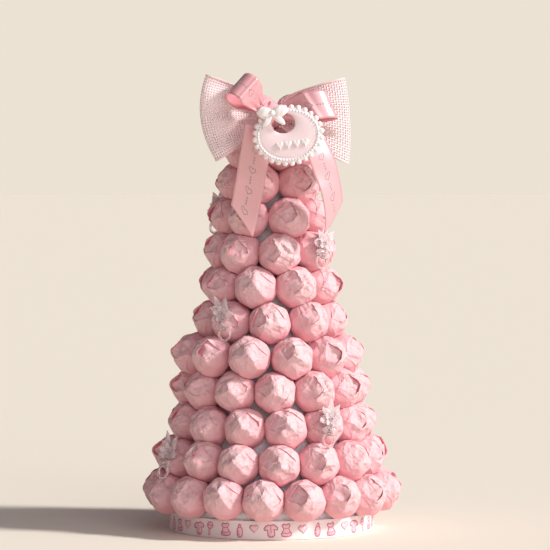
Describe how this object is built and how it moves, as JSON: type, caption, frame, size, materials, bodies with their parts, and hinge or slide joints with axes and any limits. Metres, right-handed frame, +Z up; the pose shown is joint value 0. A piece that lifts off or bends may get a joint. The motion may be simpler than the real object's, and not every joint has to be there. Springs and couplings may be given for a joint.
{
  "type": "chocolate tower",
  "caption": "Tall tapering tower of pink paper-wrapped round chocolates on a foam cone, with a banded base disc, a ribbon bow with two tails and a bib-shaped charm at the top.",
  "frame": {"origin": "centre of the underside of the base disc", "axes": "+Z up along the cone; the bow and the bib face -Y; +X is to the right seen from the front"},
  "size_m": [0.1944, 0.1935, 0.3472],
  "materials": {
    "foam": "white beaded foam",
    "printed_ribbon": "white satin ribbon with a pink print",
    "pink_paper": "folded satin-sheen pink paper foil",
    "mesh_ribbon": "open-weave pink mesh",
    "satin_ribbon": "glossy pink satin",
    "bib_resin": "matt pale pink resin",
    "bib_trim": "pearly white resin",
    "frosted_plastic": "frosted clear plastic",
    "clear_plastic": "clear plastic with a pink tint"
  },
  "bodies": {
    "root": {"base_disc": "foam", "bib": "bib_resin", "bib_bow": "bib_trim", "bib_edging": "bib_trim", "dummy_01": "clear_plastic", "dummy_02": "clear_plastic", "dummy_03": "clear_plastic", "dummy_04": "clear_plastic", "dummy_05": "clear_plastic", "dummy_06": "clear_plastic", "dummy_07": "clear_plastic", "dummy_08": "clear_plastic", "foam_cone": "foam", "mesh_loop_left": "mesh_ribbon", "mesh_loop_right": "mesh_ribbon", "printed_band": "printed_ribbon", "rosette_01": "frosted_plastic", "rosette_02": "frosted_plastic", "rosette_03": "frosted_plastic", "rosette_04": "frosted_plastic", "rosette_05": "frosted_plastic", "rosette_06": "frosted_plastic", "rosette_07": "frosted_plastic", "rosette_08": "frosted_plastic", "satin_knot": "satin_ribbon", "satin_loop_left": "satin_ribbon", "satin_loop_right": "satin_ribbon", "satin_tail_left": "satin_ribbon", "satin_tail_right": "satin_ribbon", "sweets_tier_01": "pink_paper", "sweets_tier_02": "pink_paper", "sweets_tier_03": "pink_paper", "sweets_tier_04": "pink_paper", "sweets_tier_05": "pink_paper", "sweets_tier_06": "pink_paper", "sweets_tier_07": "pink_paper", "sweets_tier_08": "pink_paper", "sweets_tier_09": "pink_paper", "sweets_tier_10": "pink_paper", "sweets_tier_11": "pink_paper", "sweets_tier_12": "pink_paper"}
  },
  "joints": []
}
